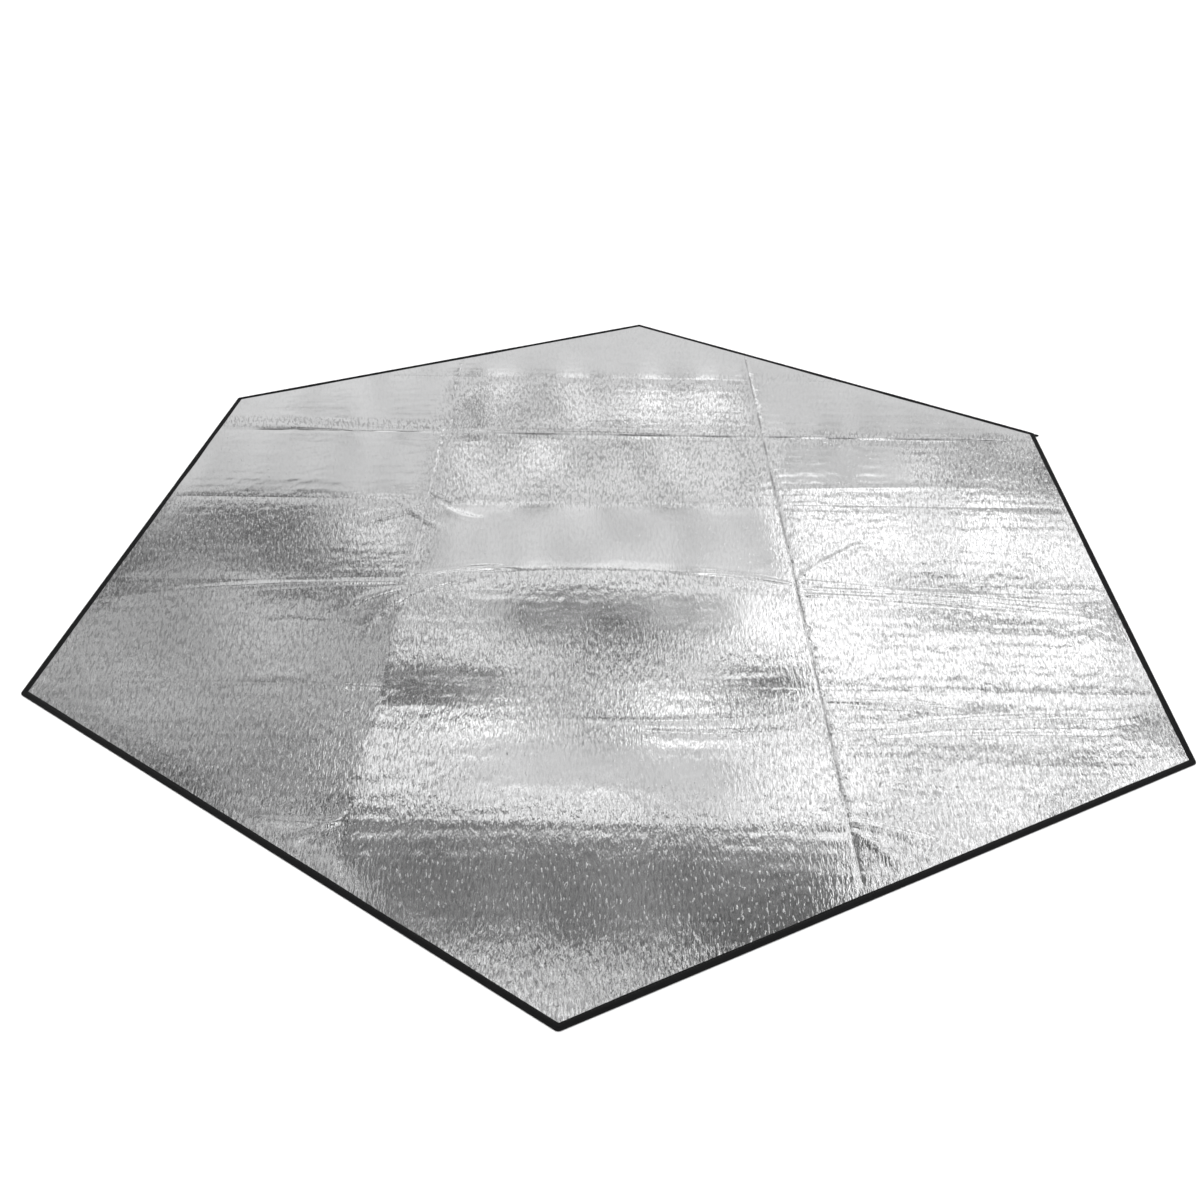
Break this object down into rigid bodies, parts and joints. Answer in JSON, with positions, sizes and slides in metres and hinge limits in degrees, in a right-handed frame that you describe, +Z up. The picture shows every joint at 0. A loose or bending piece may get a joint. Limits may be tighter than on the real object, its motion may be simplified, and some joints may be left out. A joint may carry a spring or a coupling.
{
  "type": "foam sleeping pad",
  "caption": "Thin hexagonal foam sleeping pad with a metallised film face and a bound edge; pressed creases let its sides fold over the middle and its rows fold as an accordion.",
  "frame": {"origin": "centre of the hexagon, on the ground under the pad", "axes": "+Z up, through the metallised face; +X along the cross creases; +Y along the long creases, towards the far corner of the hexagon"},
  "size_m": [2.3499, 2.5916, 0.0035],
  "materials": {
    "foam": "matte",
    "foil_film": "satin",
    "edge_tape": "matte"
  },
  "bodies": {
    "row1_left": {"foam_row1_left": "foam", "foil_row1_left": "foil_film", "binding_row1_left": "edge_tape"},
    "row1_centre": {"foam_row1_centre": "foam", "foil_row1_centre": "foil_film", "binding_row1_centre": "edge_tape"},
    "row1_right": {"foam_row1_right": "foam", "foil_row1_right": "foil_film", "binding_row1_right": "edge_tape"},
    "row2_left": {"foam_row2_left": "foam", "foil_row2_left": "foil_film", "binding_row2_left": "edge_tape"},
    "row2_centre": {"foam_row2_centre": "foam", "foil_row2_centre": "foil_film"},
    "row2_right": {"foam_row2_right": "foam", "foil_row2_right": "foil_film", "binding_row2_right": "edge_tape"},
    "row3_left": {"foam_row3_left": "foam", "foil_row3_left": "foil_film", "binding_row3_left": "edge_tape"},
    "row3_centre": {"foam_row3_centre": "foam", "foil_row3_centre": "foil_film"},
    "row3_right": {"foam_row3_right": "foam", "foil_row3_right": "foil_film", "binding_row3_right": "edge_tape"},
    "row4_left": {"foam_row4_left": "foam", "foil_row4_left": "foil_film", "binding_row4_left": "edge_tape"},
    "row4_centre": {"foam_row4_centre": "foam", "foil_row4_centre": "foil_film"},
    "row4_right": {"foam_row4_right": "foam", "foil_row4_right": "foil_film", "binding_row4_right": "edge_tape"},
    "row5_left": {"foam_row5_left": "foam", "foil_row5_left": "foil_film", "binding_row5_left": "edge_tape"},
    "row5_centre": {"foam_row5_centre": "foam", "foil_row5_centre": "foil_film"},
    "row5_right": {"foam_row5_right": "foam", "foil_row5_right": "foil_film", "binding_row5_right": "edge_tape"},
    "row6_left": {"foam_row6_left": "foam", "foil_row6_left": "foil_film", "binding_row6_left": "edge_tape"},
    "row6_centre": {"foam_row6_centre": "foam", "foil_row6_centre": "foil_film"},
    "row6_right": {"foam_row6_right": "foam", "foil_row6_right": "foil_film", "binding_row6_right": "edge_tape", "binding_tail": "edge_tape"},
    "row7_left": {"foam_row7_left": "foam", "foil_row7_left": "foil_film", "binding_row7_left": "edge_tape"},
    "row7_centre": {"foam_row7_centre": "foam", "foil_row7_centre": "foil_film", "binding_row7_centre": "edge_tape"},
    "row7_right": {"foam_row7_right": "foam", "foil_row7_right": "foil_film", "binding_row7_right": "edge_tape"}
  },
  "joints": [
    {"name": "row_fold", "type": "hinge", "parent": "row1_centre", "child": "row2_centre", "pos_m": [0, -0.885, 0.02025], "axis": [1, 0, 0], "range_deg": [0, 180]},
    {"name": "row_fold_2_3", "type": "hinge", "parent": "row2_centre", "child": "row3_centre", "pos_m": [0, -0.531, -0.00025], "axis": [-1, 0, 0], "range_deg": [0, 180]},
    {"name": "row_fold_3_4", "type": "hinge", "parent": "row3_centre", "child": "row4_centre", "pos_m": [0, -0.177, 0.02025], "axis": [1, 0, 0], "range_deg": [0, 180]},
    {"name": "row_fold_4_5", "type": "hinge", "parent": "row4_centre", "child": "row5_centre", "pos_m": [0, 0.177, -0.00025], "axis": [-1, 0, 0], "range_deg": [0, 180]},
    {"name": "row_fold_5_6", "type": "hinge", "parent": "row5_centre", "child": "row6_centre", "pos_m": [0, 0.531, 0.02025], "axis": [1, 0, 0], "range_deg": [0, 180]},
    {"name": "row_fold_6_7", "type": "hinge", "parent": "row6_centre", "child": "row7_centre", "pos_m": [0, 0.885, -0.00025], "axis": [-1, 0, 0], "range_deg": [0, 180]},
    {"name": "left_fold_row1", "type": "hinge", "parent": "row1_centre", "child": "row1_left", "pos_m": [-0.462, -0.9925, 0.007], "axis": [0, 1, 0], "range_deg": [0, 180]},
    {"name": "left_fold_row2", "type": "hinge", "parent": "row2_centre", "child": "row2_left", "pos_m": [-0.462, -0.708, 0.007], "axis": [0, 1, 0], "range_deg": [0, 180]},
    {"name": "left_fold_row3", "type": "hinge", "parent": "row3_centre", "child": "row3_left", "pos_m": [-0.462, -0.354, 0.007], "axis": [0, 1, 0], "range_deg": [0, 180]},
    {"name": "left_fold", "type": "hinge", "parent": "row4_centre", "child": "row4_left", "pos_m": [-0.462, 0, 0.007], "axis": [0, 1, 0], "range_deg": [0, 180]},
    {"name": "left_fold_row5", "type": "hinge", "parent": "row5_centre", "child": "row5_left", "pos_m": [-0.462, 0.354, 0.007], "axis": [0, 1, 0], "range_deg": [0, 180]},
    {"name": "left_fold_row6", "type": "hinge", "parent": "row6_centre", "child": "row6_left", "pos_m": [-0.462, 0.708, 0.007], "axis": [0, 1, 0], "range_deg": [0, 180]},
    {"name": "left_fold_row7", "type": "hinge", "parent": "row7_centre", "child": "row7_left", "pos_m": [-0.462, 0.9925, 0.007], "axis": [0, 1, 0], "range_deg": [0, 180]},
    {"name": "right_fold_row1", "type": "hinge", "parent": "row1_centre", "child": "row1_right", "pos_m": [0.408, -0.9925, 0.01], "axis": [0, -1, 0], "range_deg": [0, 180]},
    {"name": "right_fold_row2", "type": "hinge", "parent": "row2_centre", "child": "row2_right", "pos_m": [0.408, -0.708, 0.01], "axis": [0, -1, 0], "range_deg": [0, 180]},
    {"name": "right_fold_row3", "type": "hinge", "parent": "row3_centre", "child": "row3_right", "pos_m": [0.408, -0.354, 0.01], "axis": [0, -1, 0], "range_deg": [0, 180]},
    {"name": "right_fold", "type": "hinge", "parent": "row4_centre", "child": "row4_right", "pos_m": [0.408, 0, 0.01], "axis": [0, -1, 0], "range_deg": [0, 180]},
    {"name": "right_fold_row5", "type": "hinge", "parent": "row5_centre", "child": "row5_right", "pos_m": [0.408, 0.354, 0.01], "axis": [0, -1, 0], "range_deg": [0, 180]},
    {"name": "right_fold_row6", "type": "hinge", "parent": "row6_centre", "child": "row6_right", "pos_m": [0.408, 0.708, 0.01], "axis": [0, -1, 0], "range_deg": [0, 180]},
    {"name": "right_fold_row7", "type": "hinge", "parent": "row7_centre", "child": "row7_right", "pos_m": [0.408, 0.9925, 0.01], "axis": [0, -1, 0], "range_deg": [0, 180]}
  ],
  "couplings": [
    {"joint": "row_fold_2_3", "follows": "row_fold", "ratio": 1},
    {"joint": "row_fold_3_4", "follows": "row_fold", "ratio": 1},
    {"joint": "row_fold_4_5", "follows": "row_fold", "ratio": 1},
    {"joint": "row_fold_5_6", "follows": "row_fold", "ratio": 1},
    {"joint": "row_fold_6_7", "follows": "row_fold", "ratio": 1},
    {"joint": "left_fold_row1", "follows": "left_fold", "ratio": 1},
    {"joint": "left_fold_row2", "follows": "left_fold", "ratio": 1},
    {"joint": "left_fold_row3", "follows": "left_fold", "ratio": 1},
    {"joint": "left_fold_row5", "follows": "left_fold", "ratio": 1},
    {"joint": "left_fold_row6", "follows": "left_fold", "ratio": 1},
    {"joint": "left_fold_row7", "follows": "left_fold", "ratio": 1},
    {"joint": "right_fold_row1", "follows": "right_fold", "ratio": 1},
    {"joint": "right_fold_row2", "follows": "right_fold", "ratio": 1},
    {"joint": "right_fold_row3", "follows": "right_fold", "ratio": 1},
    {"joint": "right_fold_row5", "follows": "right_fold", "ratio": 1},
    {"joint": "right_fold_row6", "follows": "right_fold", "ratio": 1},
    {"joint": "right_fold_row7", "follows": "right_fold", "ratio": 1}
  ]
}
